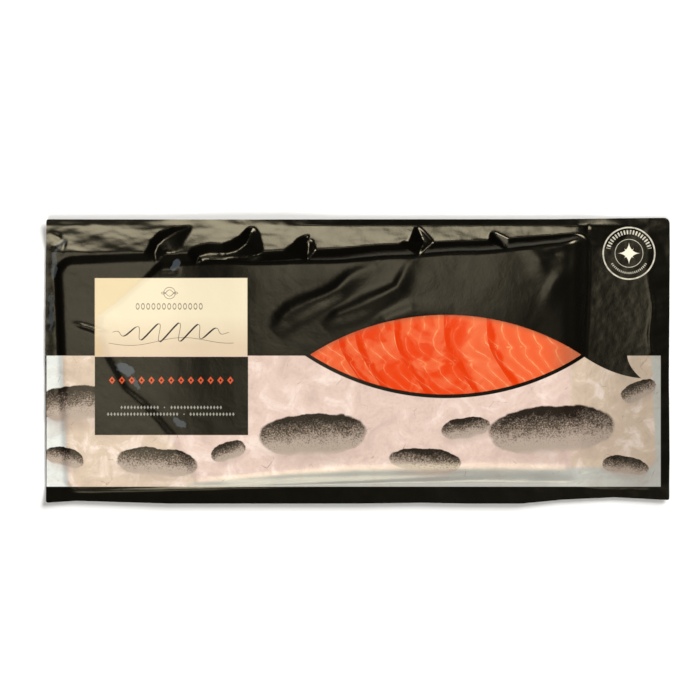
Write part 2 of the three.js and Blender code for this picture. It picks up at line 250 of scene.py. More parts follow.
def nearestOf(points, x, y, reach):  # of a line's points: distance, side and height there
    best = (reach, 1, 0)
    xs, ys = [p[0] for p in points], [p[1] for p in points]
    if not (min(xs) - reach < x < max(xs) + reach and min(ys) - reach < y < max(ys) + reach):
        return best
    for a, b in zip(points, points[1:]):
        alongX, alongY = b[0] - a[0], b[1] - a[1]
        t = clamp01(((x - a[0]) * alongX + (y - a[1]) * alongY) / (alongX ** 2 + alongY ** 2))
        offX, offY = x - a[0] - alongX * t, y - a[1] - alongY * t
        off = hypot(offX, offY)
        if off < best[0]:
            best = (off, alongX * offY - alongY * offX, a[2] + (b[2] - a[2]) * t)
    return best


def foldHeight(fold, x, y):
    points, leftWidth, rightWidth = fold
    off, side, height = nearestOf(points, x, y, 2 * max(leftWidth, rightWidth))
    return height * exp(-2 * (off / (leftWidth if side > 0 else rightWidth)) ** 2)


def tentSurface(tent, x, y):
    points, leftSlope, rightSlope = tent
    off, side, height = nearestOf(points, x, y, form["tentReach"])
    return height - off * (leftSlope if side > 0 else rightSlope)


def faceHeight(x, y):  # the film's upper surface
    sway, first, second, twist = form["warp"]
    swayX = x + sway * sin(y / first + twist * sin(x / second))
    swayY = y + sway * sin(x / first + twist * sin(y / second))
    boardBlend, fishBlend, tentBlend = form["blends"]
    height = smoothMax(rimHeight(x, y), boardSurface(x, y), boardBlend)
    height = smoothMax(height, fishSurface(x, y), fishBlend)
    for tent in tents:
        height = smoothMax(height, tentSurface(tent, swayX, swayY), tentBlend)
    height += sum(foldHeight(fold, swayX, swayY) for fold in folds)
    return max(height, underHeight(x, y) + form["leastThickness"])


creaseAngle = 50  # steeper joints between faces stay sharp


def finishMesh(bm, name, material, slot, *nodes, smoothFaces=True):
    bmesh.ops.scale(bm, vec=(mm, mm, mm), verts=bm.verts)
    mesh = bpy.data.meshes.new(name)
    bm.to_mesh(mesh)
    bm.free()
    mesh.polygons.foreach_set("use_smooth", [smoothFaces] * len(mesh.polygons))
    mesh.materials.append(material)
    if smoothFaces:
        mesh.set_sharp_from_angle(angle=radians(creaseAngle))
    piece = bpy.data.objects.new(name, mesh)
    bpy.context.scene.collection.objects.link(piece)
    if slot:
        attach(piece, "root")
    if nodes:
        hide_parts(*nodes)
    return piece


def gridOf(length, width, spacing):
    bm = bmesh.new()
    bmesh.ops.create_grid(bm, x_segments=round(length / spacing), y_segments=round(width / spacing),
                          size=0.5)
    bmesh.ops.scale(bm, vec=(length, width, 1), verts=bm.verts)
    return bm


def vertsOf(geom):
    return [g for g in geom if isinstance(g, bmesh.types.BMVert)]


def thicken(bm, way):  # a closed slab, its second side shifted by the way
    shifted = bmesh.ops.extrude_face_region(bm, geom=bm.faces[:])["geom"]
    bmesh.ops.translate(bm, vec=way, verts=vertsOf(shifted))
    bmesh.ops.recalc_face_normals(bm, faces=bm.faces)


def nodeOf(tree, kind, **settings):
    node = tree.nodes.new(kind)
    for key, value in settings.items():
        setattr(node, key, value)
    return node


def nodeFor(values, kind, **settings):  # in the tree that the sockets among the values belong to
    socket = next(value for value in values if isinstance(value, bpy.types.NodeSocket))
    return nodeOf(socket.id_data, kind, **settings)


def feed(socket, value):  # a link from another socket, or a fixed value
    if isinstance(value, bpy.types.NodeSocket):
        socket.id_data.links.new(value, socket)
    else:
        socket.default_value = value


def feedAll(sockets, values):
    for socket, value in zip(sockets, values):
        feed(socket, value)


def setInputs(shader, values):  # values by the names of the shader's inputs
    for label, value in values.items():
        feed(shader.inputs[label], value)


def calc(operation, *values, clamp=False):
    node = nodeFor(values, "ShaderNodeMath", operation=operation, use_clamp=clamp)
    feedAll(node.inputs, values)
    return node.outputs[0]


def plus(a, b):
    return calc("ADD", a, b)


def minus(a, b):
    return calc("SUBTRACT", a, b)


def chained(operation, first, *others):
    for other in others:
        first = calc(operation, first, other)
    return first


def times(*values):
    return chained("MULTIPLY", *values)


def over(a, b):
    return calc("DIVIDE", a, b)


def larger(*values):
    return chained("MAXIMUM", *values)


def absolute(a):
    return calc("ABSOLUTE", a)


def inverse(a):
    return minus(1, a)


def lengthOf(a, b):
    return calc("SQRT", plus(times(a, a), times(b, b)))


def circleDistance(x, y, centreX, centreY):
    return lengthOf(minus(x, centreX), minus(y, centreY))


def turned(dx, dy, cosine, sine):  # along and across an axis with this direction
    return plus(times(dx, cosine), times(dy, sine)), minus(times(dy, cosine), times(dx, sine))


def ovalSize(a, b, powerA, powerB):  # 1 on the outline of a swollen or pinched oval
    return plus(calc("POWER", absolute(a), powerA), calc("POWER", absolute(b), powerB))


def mix(factor, first, second, blend="MIX"):
    values = [(*value, 1) if isinstance(value, tuple) else value for value in (factor, first, second)]
    node = nodeFor(values, "ShaderNodeMix", data_type="RGBA", blend_type=blend)
    feedAll((node.inputs[0], node.inputs[6], node.inputs[7]), values)
    return node.outputs[2]


def spread(value, low, high, outLow=0, outHigh=1, shape="LINEAR"):
    values = (value, low, high, outLow, outHigh)
    node = nodeFor(values, "ShaderNodeMapRange", interpolation_type=shape)
    feedAll(node.inputs, values)
    return node.outputs[0]


def stepUp(value, edge, soft):  # 0 below the edge, 1 above it
    return spread(value, edge - soft / 2, edge + soft / 2, shape="SMOOTHSTEP")


def within(value, half, soft):  # 1 where the value lies less than half from 0
    return inverse(stepUp(absolute(value), half, soft))


def noiseOf(vector, scale, detail=2, roughness=0.5, distortion=0, output=0):
    node = nodeFor([vector], "ShaderNodeTexNoise")
    setInputs(node, {"Vector": vector, "Scale": scale, "Detail": detail, "Roughness": roughness,
                     "Distortion": distortion})
    return node.outputs[output]


def patches(where, kind, limits):  # the share at each place where a noise lies between the limits
    return spread(noiseOf(where, *kind), *limits)


def partsOf(vector):
    node = nodeFor([vector], "ShaderNodeSeparateXYZ")
    feed(node.inputs[0], vector)
    return node.outputs[:]


def millimetres(tree):  # object coordinates in millimetres, and their X and Y alone
    scaled = nodeOf(tree, "ShaderNodeVectorMath", operation="SCALE")
    feed(scaled.inputs[0], nodeOf(tree, "ShaderNodeTexCoord").outputs["Object"])
    scaled.inputs["Scale"].default_value = 1 / mm
    return scaled.outputs[0], *partsOf(scaled.outputs[0])[:2]


def raggedPlace(where, amount, *noiseKind):  # the place, led astray by up to the amount
    node = nodeFor([where], "ShaderNodeVectorMath", operation="MULTIPLY_ADD")
    feedAll(node.inputs, (noiseOf(where, *noiseKind, output="Color"), (amount, amount, 0), where))
    return node.outputs[0]


def addBump(shader, height, distance):  # distance in millimetres
    bump = nodeFor([height], "ShaderNodeBump")
    setInputs(bump, {"Height": height, "Distance": distance * mm})
    feed(shader.inputs["Normal"], bump.outputs[0])


def newMaterial(name):
    material = bpy.data.materials.new(name)
    material.use_nodes = True
    return material, material.node_tree, material.node_tree.nodes["Principled BSDF"]


def newGroup(name, inputs, outputs="Mask"):  # floats, but for a Place
    tree = bpy.data.node_groups.new(name, "ShaderNodeTree")
    for label in inputs.split():
        kind = "NodeSocketVector" if label == "Place" else "NodeSocketFloat"
        tree.interface.new_socket(label, in_out="INPUT", socket_type=kind)
    for label in outputs.split():
        tree.interface.new_socket(label, in_out="OUTPUT", socket_type="NodeSocketFloat")
    return tree, tree.nodes.new("NodeGroupInput").outputs, tree.nodes.new("NodeGroupOutput").inputs


def place(group, *values):
    node = nodeFor(values, "ShaderNodeGroup", node_tree=group)
    feedAll(node.inputs, values)
    return node.outputs


printed = {
    "black": (0.0026, 0.0022, 0.0015),
    "cream": (0.8, 0.7, 0.5),
    "creamBare": (0.72, 0.59, 0.365),  # where only the board backs it
    "creamLow": (0.84, 0.77, 0.76),  # it darkens by this towards its lower edge
    "creamFade": (9, 27),
    "creamPanel": (-159.7, -66.8, 2.5, 50),  # left, right, bottom, top
    "darkPanel": (-159.7, -66.4, -45.4, 2.2),
    "edge": 0.35,  # softness of a printed edge
}

# a kind of noise is scale, detail, roughness, distortion, and a range is from, to, share at each
ice = {
    "panel": (-189.1, 184.4, -76.8, 2.85),  # left, right, bottom, top
    "onBoard": (0.6, 0.475, 0.36), "onFish": (0.7, 0.53, 0.455),
    "loose": (0.5, 0.5, 0.455),  # over the empty rim
    "leftRim": (0.68, 0.7, 0.66),  # where that rim lies on the white table
    "rimRange": (-178, -160),  # along X
    "footSlopeShade": (0.39, 0.39, 0.3549),  # and painted shade where the film slopes down from the fish's foot
    "shade": (0.34, 0.25, 0.21), "gleam": (0.84, 0.7, 0.62),
    "clouds": (0.065, 5, 0.62, 0.8),
    "shadeRange": (0.51, 0.72, 0, 0.34), "gleamRange": (0.485, 0.34, 0, 0.8),
    "grain": ((0.5, 4, 0.65), (0.5, 0.75, 0, 0.2)),
    "wander": (0.075, 4, 0.6),
    "crack": (0.1, 0.07, 0.055),
    "crackScale": 0.085,
    "crackRange": (0.004, 0.02, 0.5, 0),
    "cracked": ((0.13, 3, 0.6), (0.58, 0.68)),  # only parts of the cracks show
    "endShadeRange": (118, 165, 1, 0.68),  # along X: painted shade, darker towards the right end
}

stones = {
    "dark": (0.015, 0.01, 0.007), "mid": (0.12, 0.088, 0.066), "pale": (0.4, 0.32, 0.26),
    "ragged": 5,  # mm that their outlines wander
    "powers": (2.4, 2.2), "edge": 0.16,
    "sunk": (-1.05, -0.72),  # its foot is lost in the ice
    "shadowDrop": 0.55, "shadowRange": (0.5, 1.3, 1, 0), "shadowShare": 0.4,
    "mottle": (0.2, 3, 0.6, 0.5), "mottleDepth": 0.9,
    "midRange": (0.62, 0.2), "paleRange": (0.15, -0.35),
    "speckle": (1.1, 2, 0.7),
    # ranges of the speckle and of the height on the stone, tone
    "specks": (((0.53, 0.6, 0, 0.75), (-0.8, 0), "dark"), ((0.45, 0.39, 0, 0.7), (0.8, 0.1), "pale")),
    # centre, half length, half width, angle in degrees
    "places": [
        (-172, -26, 22, 11, 4), (-178, -59, 12, 6, -14), (-122, -62, 24, 8.5, -5), (-79, -55, 11, 5.5, 16),
        (-27, -45, 33, 12.5, 3), (41, -61, 22, 7.5, -6), (66, -41, 15, 6.5, 8), (118, -42, 38, 14.5, 4),
        (163, -64, 14, 5.5, -8), (171, -18, 11, 5.5, 24),
    ],
}

# generic marks in place of lettering: rows of beads, and waves like penstrokes
marks = {
    "ink": (0.022, 0.022, 0.026), "grey": (0.2, 0.18, 0.15), "chalk": (0.3, 0.29, 0.25),
    "accent": (0.62, 0.085, 0.028),
    # colour, left, right, centre Y, spacing, half width, half height, hollow up to, power
    "beads": [
        ("grey", -135.2, -93.6, 32.8, 3.2, 1.15, 2, 0.42, 2),
        ("accent", -152.2, -74.2, -12.1, 6, 1.9, 2.3, 0.4, 1),
        *(("chalk", *ends, 2, 0.72, 1.15, 0, 1) for ends in (
            (-144.4, -120.4, -28.6), (-114, -82, -28.6),
            (-152.6, -108.6, -32.7), (-102.4, -74.4, -32.7))),
        *(("chalk", *ends, 2, 0.4, 0.4, 0, 2) for ends in (
            (-118.3, -116.3, -28.6), (-106.4, -104.4, -32.7))),
    ],
    "beadEdge": 0.3, "hollowRange": (-0.1, 0.1),
    # colour, centre, half length, height, wavelength, phase, thin and thick half widths, slant
    "waves": [
        ("ink", -113.5, 17, 36, 5.6, 12.2, 0.4, 0.14, 0.5, 0.55),
        ("ink", -113.2, 10.6, 38.6, 3.4, 88, 0.9, 0.1, 0.26, 0),
        ("ink", -114.2, 40.9, 5.2, 1.9, 10.4, 1.57, 0.12, 0.2, 0),
        ("ink", -114.2, 40.9, 5.2, 1.9, 10.4, 4.71, 0.12, 0.2, 0),
    ],
    "waveEdge": (-0.1, 0.14), "waveEnd": (0, 0.06),
    "press": (0.2, 1.5),  # slopes at which the stroke is thin and thick
    "ring": (-114.2, 40.9, 3.5, 0.14), "ringEdge": 0.2,  # centre, radius, half width
}

# brine pockets under the film, drawn as painted bluish reflections with a dark line round each
brineSheen = {
    "tint": (0.06, 0.072, 0.082),
    "ragged": 4,
    "wander": (0.3,),
    "fill": (0.6, 1),  # sizes at which a pool is full and ends
    "rim": (1.25, 0.2, 0.3, 0.8),  # size, half width, softness and share of the dark line round it
    # centre, half length, half width, angle in degrees, strength
    "places": [
        (-141, -5.4, 7, 3.4, -32, 1), (-134.5, -14, 4.5, 1.5, -62, 0.8), (-108, -38, 5, 2.2, -28, 0.8),
        (-110.5, 57.5, 4.4, 2.3, 62, 0.7), (-184.5, 58, 10, 1.9, 86, 0.5), (-186.5, 30, 13, 1.6, 90, 0.4),
        (-180, 71, 4.5, 2, 40, 0.5),
    ],
}

badge = {
    "centre": (165.1, 65.1),
    "pale": (0.66, 0.62, 0.5), "star": (0.86, 0.79, 0.63),
    "rings": ((15.7, 0.42), (8.5, 0.16)),  # radius, half width
    "ringEdge": 0.3,
    # radius, half height, how many right round, half width as a share, middle and half reach in degrees
    "ticks": ((12.9, 1.25, 44, 0.25, 90, 77), (12, 0.62, 62, 0.22, -90, 62)),
    "tickEdges": (0.12, 0.25, 0.01),  # of their sides, ends and whole band
    "wear": ((0.4, 3, 0.6), (0.35, 0.6, 0.6, 1)),
    "rays": ((6.9, 0), (4.4, 45)),  # length and turn of the star's points
    "rayPower": 0.55, "rayRange": (0.96, 1.04, 1, 0),
}

filmFinish = {
    "shader": {"Roughness": 0.2, "Specular Tint": (1, 0.89, 0.62, 1)},
    "crinkles": ((0.07, 2, 0.5, 0.6), (0.35, 3, 0.55, 1.2)),  # kinds of noise, broad and fine
    "fineShare": 0.35,
    "bump": 0.09,  # mm
}

# the dark field right of the window: its lower edge falls away from the tip, its right edge curves
swoosh = {"tip": 137.9, "start": 2.1, "slope": -0.665, "bend": 0.00835,
          "backTop": 3.9, "backX": 164, "backBend": 0.039}


def makeStoneGroup():
    tree, given, made = newGroup("stone", "Place CentreX CentreY HalfLength HalfWidth Angle",
                                 "Mask Up Shadow Size")
    where, centreX, centreY, halfLength, halfWidth, angle = given[:-1]
    x, y = partsOf(where)[:2]
    across, up = turned(minus(x, centreX), minus(y, centreY), calc("COSINE", angle), calc("SINE", angle))
    across, up = over(across, halfLength), over(up, halfWidth)
    size = ovalSize(across, up, *stones["powers"])
    mask = times(inverse(stepUp(size, 1, stones["edge"])), spread(up, *stones["sunk"], 0, 1, "SMOOTHSTEP"))
    shadow = lengthOf(across, plus(up, stones["shadowDrop"]))
    feedAll(made, (mask, up, spread(shadow, *stones["shadowRange"], "SMOOTHSTEP"), size))
    return tree


def makePanelGroup():
    tree, given, made = newGroup("panel", "X Y Left Right Bottom Top Soft")
    x, y, left, right, bottom, top, soft = given[:-1]
    nearest = chained("MINIMUM", minus(x, left), minus(right, x), minus(y, bottom), minus(top, y))
    feed(made[0], calc("ADD", over(nearest, soft), 0.5, clamp=True))
    return tree


def makeBeadGroup():  # a row of lozenges or ovals, filled or as outlines
    tree, given, made = newGroup(
        "beadRow", "X Y Left Right CentreY Spacing HalfWidth HalfHeight Hollow Power")
    x, y, left, right, centreY, spacing, halfWidth, halfHeight, hollow, power = given[:-1]
    fromMiddle = minus(calc("FRACT", over(minus(x, left), spacing)), 0.5)
    across = over(times(fromMiddle, spacing), halfWidth)
    size = ovalSize(across, over(minus(y, centreY), halfHeight), power, power)
    filled = inverse(stepUp(size, 1, marks["beadEdge"]))
    clearIn = spread(minus(size, hollow), *marks["hollowRange"])
    inRow = times(calc("GREATER_THAN", x, left), calc("LESS_THAN", x, right))
    feed(made[0], times(filled, clearIn, inRow))
    return tree


def makeWaveGroup():  # one penstroke along a wave that dies out at both ends
    tree, given, made = newGroup(
        "waveStroke", "X Y CentreX CentreY HalfLength Height Wavelength Phase Thin Thick Slant")
    x, y, centreX, centreY, halfLength, fullHeight, wavelength, phase, thin, thick, slant = given[:-1]
    above = minus(y, centreY)
    along = minus(minus(x, centreX), times(above, slant))
    share = over(along, halfLength)
    swell = calc("SUBTRACT", 1, times(share, share), clamp=True)
    height = times(fullHeight, swell)
    turn = over(tau, wavelength)
    angle = plus(times(along, turn), phase)
    offCurve = minus(above, times(height, calc("SINE", angle)))
    slope = times(height, turn, calc("COSINE", angle))
    lean = calc("MULTIPLY_ADD", slope, slant, 1)
    off = over(absolute(offCurve), lengthOf(lean, slope))
    half = spread(slope, *marks["press"], thin, thick)
    stroke = spread(minus(off, half), *marks["waveEdge"], 1, 0)
    feed(made[0], times(stroke, spread(swell, *marks["waveEnd"])))
    return tree


def makeCrinkleGroup():
    tree, given, made = newGroup("filmCrinkle", "Place", "Height")
    broad, fine = (noiseOf(given[0], *kind) for kind in filmFinish["crinkles"])
    feed(made[0], plus(broad, times(fine, filmFinish["fineShare"])))
    return tree


def panelMask(x, y, sides):
    return place(panelGroup, x, y, *sides, printed["edge"])[0]


def placeOval(ragged, amount, centreX, centreY, halfLength, halfWidth, angle):  # on a ragged place
    return place(stoneGroup, ragged, centreX + amount / 2, centreY + amount / 2, halfLength, halfWidth,
                 radians(angle))


def lensArcs():  # radius of the window's arcs and how far their centres lie from its own
    half, wide = window["halfLength"], window["halfWidth"]
    radius = (half ** 2 + wide ** 2) / (2 * wide)
    return radius, radius - wide


def pastArc(x, y, side):  # how far past the window's far arc (1) or near arc (-1)
    radius, below = lensArcs()
    centreX, centreY = window["centre"]
    return minus(circleDistance(x, y, centreX, centreY - side * below), radius)


def iceMask(x, y):
    edge = printed["edge"]
    clearOfLens = stepUp(pastArc(x, y, -1), window["outline"], edge)
    away = minus(x, swoosh["tip"])
    curve = plus(times(away, swoosh["slope"]), times(away, away, swoosh["bend"]))
    under = stepUp(minus(plus(curve, swoosh["start"]), y), 0, edge)
    down = minus(swoosh["backTop"], y)
    backX = plus(times(down, down, swoosh["backBend"]), swoosh["backX"])
    beyond = stepUp(minus(x, backX), 0, edge)
    leftOfTip = calc("LESS_THAN", x, swoosh["tip"])
    clear = spread(leftOfTip, 0, 1, larger(under, beyond), clearOfLens)
    return times(panelMask(x, y, ice["panel"]), clear)


def stoneColour(where, ragged, colour):  # stones laid over the ice
    speckle = noiseOf(where, *stones["speckle"])
    mottle = noiseOf(where, *stones["mottle"])
    depth = stones["mottleDepth"]
    for spot in stones["places"]:
        stone = placeOval(ragged, stones["ragged"], *spot)
        colour = mix(times(stone["Shadow"], stones["shadowShare"]), colour, ice["shade"])
        level = plus(stone["Up"], calc("MULTIPLY_ADD", mottle, depth, -depth / 2))
        body = mix(spread(level, *stones["midRange"]), stones["dark"], stones["mid"])
        body = mix(spread(level, *stones["paleRange"]), body, stones["pale"])
        for speckleRange, levelRange, tone in stones["specks"]:
            specks = times(spread(speckle, *speckleRange), spread(level, *levelRange))
            body = mix(specks, body, stones[tone])
        colour = mix(stone["Mask"], colour, body)
    return colour


def iceColour(where, x, onBoard, onFish, pastFoot):
    loose = mix(spread(x, *ice["rimRange"]), ice["leftRim"], ice["loose"])
    # painted shade on the film's slope past the fish's foot
    loose = mix(pastFoot, loose, ice["footSlopeShade"])
    colour = mix(onBoard, loose, ice["onBoard"])
    colour = mix(onFish, colour, ice["onFish"])
    clouds = noiseOf(where, *ice["clouds"])
    colour = mix(spread(clouds, *ice["shadeRange"]), colour, ice["shade"])
    colour = mix(times(spread(clouds, *ice["gleamRange"]), onBoard), colour, ice["gleam"])
    colour = mix(patches(where, *ice["grain"]), colour, ice["shade"])
    ragged = raggedPlace(where, stones["ragged"], *ice["wander"])
    cracks = nodeFor([ragged], "ShaderNodeTexVoronoi", feature="DISTANCE_TO_EDGE")
    setInputs(cracks, {"Vector": ragged, "Scale": ice["crackScale"]})
    crack = times(spread(cracks.outputs["Distance"], *ice["crackRange"]), patches(where, *ice["cracked"]))
    colour = stoneColour(where, ragged, mix(crack, colour, ice["crack"]))
    # painted shade towards the right end
    return mix(1, colour, spread(x, *ice["endShadeRange"]), "MULTIPLY")


def markColour(x, y, colour):  # the marks laid over the print below them
    for group, rows in ((beadGroup, marks["beads"]), (waveGroup, marks["waves"])):
        for ink, *numbers in rows:
            colour = mix(place(group, x, y, *numbers)[0], colour, marks[ink])
    centreX, centreY, radius, half = marks["ring"]
    offRing = minus(circleDistance(x, y, centreX, centreY), radius)
    return mix(within(offRing, half, marks["ringEdge"]), colour, marks["ink"])


def paintedBrineSheen(where, colour):  # brine pockets pressing against the film, shown as painted bluish reflections ringed by dark lines
    ragged = raggedPlace(where, brineSheen["ragged"], *brineSheen["wander"])
    rimSize, rimHalf, rimEdge, rimShare = brineSheen["rim"]
    for *spot, strength in brineSheen["places"]:
        size = placeOval(ragged, brineSheen["ragged"], *spot)["Size"]
        rim = times(within(minus(size, rimSize), rimHalf, rimEdge), rimShare)
        colour = mix(rim, colour, printed["black"])
        colour = mix(spread(size, *brineSheen["fill"], strength, 0), colour, brineSheen["tint"])
    return colour


def badgeColour(where, x, y, colour):
    centreX, centreY = badge["centre"]
    dx, dy = minus(x, centreX), minus(y, centreY)
    fromCentre = lengthOf(dx, dy)
    angle = calc("ARCTAN2", dy, dx)
    ink = 0
    for radius, half in badge["rings"]:
        ink = larger(ink, within(minus(fromCentre, radius), half, badge["ringEdge"]))
    sideEdge, endEdge, bandEdge = badge["tickEdges"]
    for radius, halfHeight, count, halfWidth, middle, reach in badge["ticks"]:
        turns = calc("FRACT", times(angle, count / tau))
        bar = within(minus(turns, 0.5), halfWidth, sideEdge)
        high = within(minus(fromCentre, radius), halfHeight, endEdge)
        inArc = within(minus(angle, radians(middle)), radians(reach), bandEdge)
        ink = larger(ink, times(bar, high, inArc))
    colour = mix(times(ink, patches(where, *badge["wear"])), colour, badge["pale"])
    for length, turn in badge["rays"]:
        turn = radians(turn)
        along, aside = turned(dx, dy, cos(turn) / length, sin(turn) / length)
        size = ovalSize(along, aside, badge["rayPower"], badge["rayPower"])
        colour = mix(spread(size, *badge["rayRange"]), colour, badge["star"])
    return colour


def makePrintedFilm():
    material, tree, shader = newMaterial("printedFilm")
    where, x, y = millimetres(tree)
    behindFilm = nodeOf(tree, "ShaderNodeAttribute", attribute_name="behind")
    parts = nodeOf(tree, "ShaderNodeSeparateColor")
    feed(parts.inputs[0], behindFilm.outputs["Color"])
    onBoard, onFish, pastFoot = parts.outputs[:3]
    colour = mix(iceMask(x, y), printed["black"], iceColour(where, x, onBoard, onFish, pastFoot))
    cream = mix(onFish, printed["creamBare"], printed["cream"])
    fade = mix(spread(y, *printed["creamFade"]), printed["creamLow"], (1, 1, 1))
    cream = mix(1, cream, fade, "MULTIPLY")
    colour = mix(panelMask(x, y, printed["creamPanel"]), colour, cream)
    colour = mix(panelMask(x, y, printed["darkPanel"]), colour, printed["black"])
    colour = markColour(x, y, paintedBrineSheen(where, colour))
    feed(shader.inputs["Base Color"], badgeColour(where, x, y, colour))
    setInputs(shader, filmFinish["shader"])
    addBump(shader, place(crinkleGroup, where)[0], filmFinish["bump"])
    return material


def lensCutter(outset, bottom):  # a column of the window's outline, grown by the outset
    bm = bmesh.new()
    centreX, centreY = window["centre"]
    radius, below = lensArcs()
    reach = sqrt((radius + outset) ** 2 - below ** 2)
    half = atan2(reach, below + window["blunt"])
    for side in (1, -1):
        middle = (centreX, centreY - side * below, 0)
        start = bm.verts.new((centreX, middle[1] + side * (radius + outset), bottom))
        bmesh.ops.rotate(bm, verts=[start], cent=middle, matrix=Matrix.Rotation(-half, 3, "Z"))
        bmesh.ops.spin(bm, geom=[start], cent=middle, axis=(0, 0, 1), angle=2 * half,
                       steps=window["arcSteps"])
    bmesh.ops.remove_doubles(bm, verts=bm.verts, dist=0.001)
    ends = [v for v in bm.verts if len(v.link_edges) == 1]
    for near in (-1, 1):
        bm.edges.new([v for v in ends if (v.co.x - centreX) * near > 0])
    bmesh.ops.contextual_create(bm, geom=bm.edges[:])
    thicken(bm, (0, 0, window["cutTop"] - bottom))
    return bm


def cutByLens(piece, operation, outset, bottom):
    column = lensCutter(outset, bottom)
    cutter = finishMesh(column, "cutter", piece.data.materials[0], None, smoothFaces=False)
    cut = piece.modifiers.new("cut", "BOOLEAN")
    cut.operation = operation
    cut.object = cutter
    cut.solver = "MANIFOLD"
    graph = bpy.context.evaluated_depsgraph_get()
    done = bpy.data.meshes.new_from_object(piece.evaluated_get(graph))
    piece.modifiers.clear()
    old, piece.data = piece.data, done
    done.name = piece.name
    done.set_sharp_from_angle(angle=radians(creaseAngle))
    bpy.data.meshes.remove(old)
    bpy.data.meshes.remove(cutter.data)  # and the cutter with it


pouchShape = {
    "spacing": 0.95,
    "cornerRadius": 1.2, "topRightRadius": 3.5,
    "seamThickness": 0.45,  # of the two webs at the cut edge
    "underRings": (0, 4, 9, 14, 20, 27),  # how far in from the edge the underside is stepped
    "pocketFloor": 1.9,
    "cutFade": 20,  # mm over which the wave of the cut edge dies out
}

# how far in from the outline each cut edge lies: along X for the long edges, along Y for the ends
edgesIn = {
    "top": ((-190, 1.3), (-60, 1.5), (0, 1.3), (120, 1.2), (160, 0.6), (190, 0.3)),
    "bottom": ((-190, 0.5), (-171, 1.7), (-114, 0), (2, 0), (38, 0.5), (66, 0), (100, 0), (125, 2.4),
               (156, 3.8), (174, 2.9), (190, 2.1)),
    "left": ((-87, 0.7), (-40, 0.3), (10, 0), (60, 0.4), (87, 1)),
    "right": ((-87, 0.5), (-60, 0.1), (-10, 0.5), (30, 0.2), (70, 0), (87, 0.2)),
}

# the film's crumples by what lies under it
relief = {
    "loose": (-1, 5),  # past the board's edges it comes loose
    "calm": (20, 0.3),  # within this far of the bottom edge, and the share left there
    "bare": (0.5, 3),  # drop of the fish's surface over which bare board begins
    "rightEnd": (2, 8, 0.3),  # past the fish's right end, and the share before it
    "waves": ((0.14, 26), (0.03, 8)),  # height, length
    "pimples": ((0.03, 1.9),),
    "creases": (0.3, 26, 9, 4, 3, 0.4),  # height, length along X and Y, layer, octaves, mean
    "dimples": (0.06, 6, 6, 0, 2, 0.4),
}

# what lies under the film, each with the millimetres over which it begins or ends
behind = {
    "fish": (0.3, 1.3), "touching": (0.3, 0.9), "boardEdge": (0, 1), "fishEnd": -6, "foot": (0, 1.2),
    "footFrom": (-110, -90), "footTo": (135, 110),  # along X
}


def roundCorner(x, y):  # the outline with its corners and its slightly uneven cut
    radius = pouchShape["topRightRadius"] if x > 0 and y > 0 else pouchShape["cornerRadius"]
    a = (abs(x) - (halfX - radius)) / radius
    b = (abs(y) - (halfY - radius)) / radius
    if a > 0 and b > 0:
        pull = max(a, b) / hypot(a, b)
        x = copysign(halfX - radius + radius * a * pull, x)
        y = copysign(halfY - radius + radius * b * pull, y)
    inX = tableAt(edgesIn["left"], y)[0] if x < 0 else -tableAt(edgesIn["right"], y)[0]
    inY = tableAt(edgesIn["bottom"], x)[0] if y < 0 else -tableAt(edgesIn["top"], x)[0]
    fade = pouchShape["cutFade"]
    return x + inX * ramp(fade, 0, halfX - abs(x)), y + inY * ramp(fade, 0, halfY - abs(y))


def wavesAt(x, y, kinds):  # soft noise in several lengths
    return sum(height * noise.noise(Vector((x, y, 0)) / length) for height, length in kinds)


def creasesAt(x, y, height, lengthX, lengthY, layer, octaves, mean):
    spot = Vector((x / lengthX, y / lengthY, layer))
    return height * (noise.turbulence(spot, octaves, False) - mean)


def fineRelief(x, y):  # taut over fish and board, creased where loose, pimpled on bare board
    calmReach, calmShare = relief["calm"]
    loose = ramp(*relief["loose"], max(boardSides(x, y)))
    loose *= calmShare + (1 - calmShare) * ramp(0, calmReach, y + halfY)
    endStart, endFull, endShare = relief["rightEnd"]
    bare = ramp(*relief["bare"], fishDrop(x, y)) * (1 - loose)
    bare *= endShare + (1 - endShare) * ramp(fish["right"] + endStart, fish["right"] + endFull, x)
    pimpled = wavesAt(x, y, relief["pimples"]) + creasesAt(x, y, *relief["dimples"])
    taut = wavesAt(x, y, relief["waves"]) * (1 - loose)
    return taut + loose * creasesAt(x, y, *relief["creases"]) + bare * pimpled


def filmTop(x, y):
    return faceHeight(x, y) + fineRelief(x, y)


def addBehind(mesh):  # how far board, fish and the fish's foot lie under each vertex
    layer = mesh.attributes.new("behind", "FLOAT_COLOR", "POINT")
    for vertex, record in zip(mesh.vertices, layer.data):
        x, y, z = vertex.co / mm
        onFish = 1 - ramp(*behind["fish"], fishDrop(x, y))
        touching = 1 - ramp(*behind["touching"], z - boardSurface(x, y))
        atEnd = ramp(fish["right"] + behind["fishEnd"], fish["right"], x)
        pastFoot = ramp(*behind["foot"], tableAt(fish["foot"], x)[0] - y) * ramp(*behind["footFrom"], x)
        onBoard = max(touching, atEnd) * (1 - ramp(*behind["boardEdge"], pastBoard(x, y))) * (1 - pastFoot)
        # the third channel says where painted shade falls past the fish's foot
        record.color = (max(onFish, onBoard), onFish, pastFoot * ramp(*behind["footTo"], x), 1)


def drawnIn(value, limit, step):  # towards the middle as far as the limit, by no more than the step
    return value - copysign(min(step, max(0, abs(value) - limit)), value)


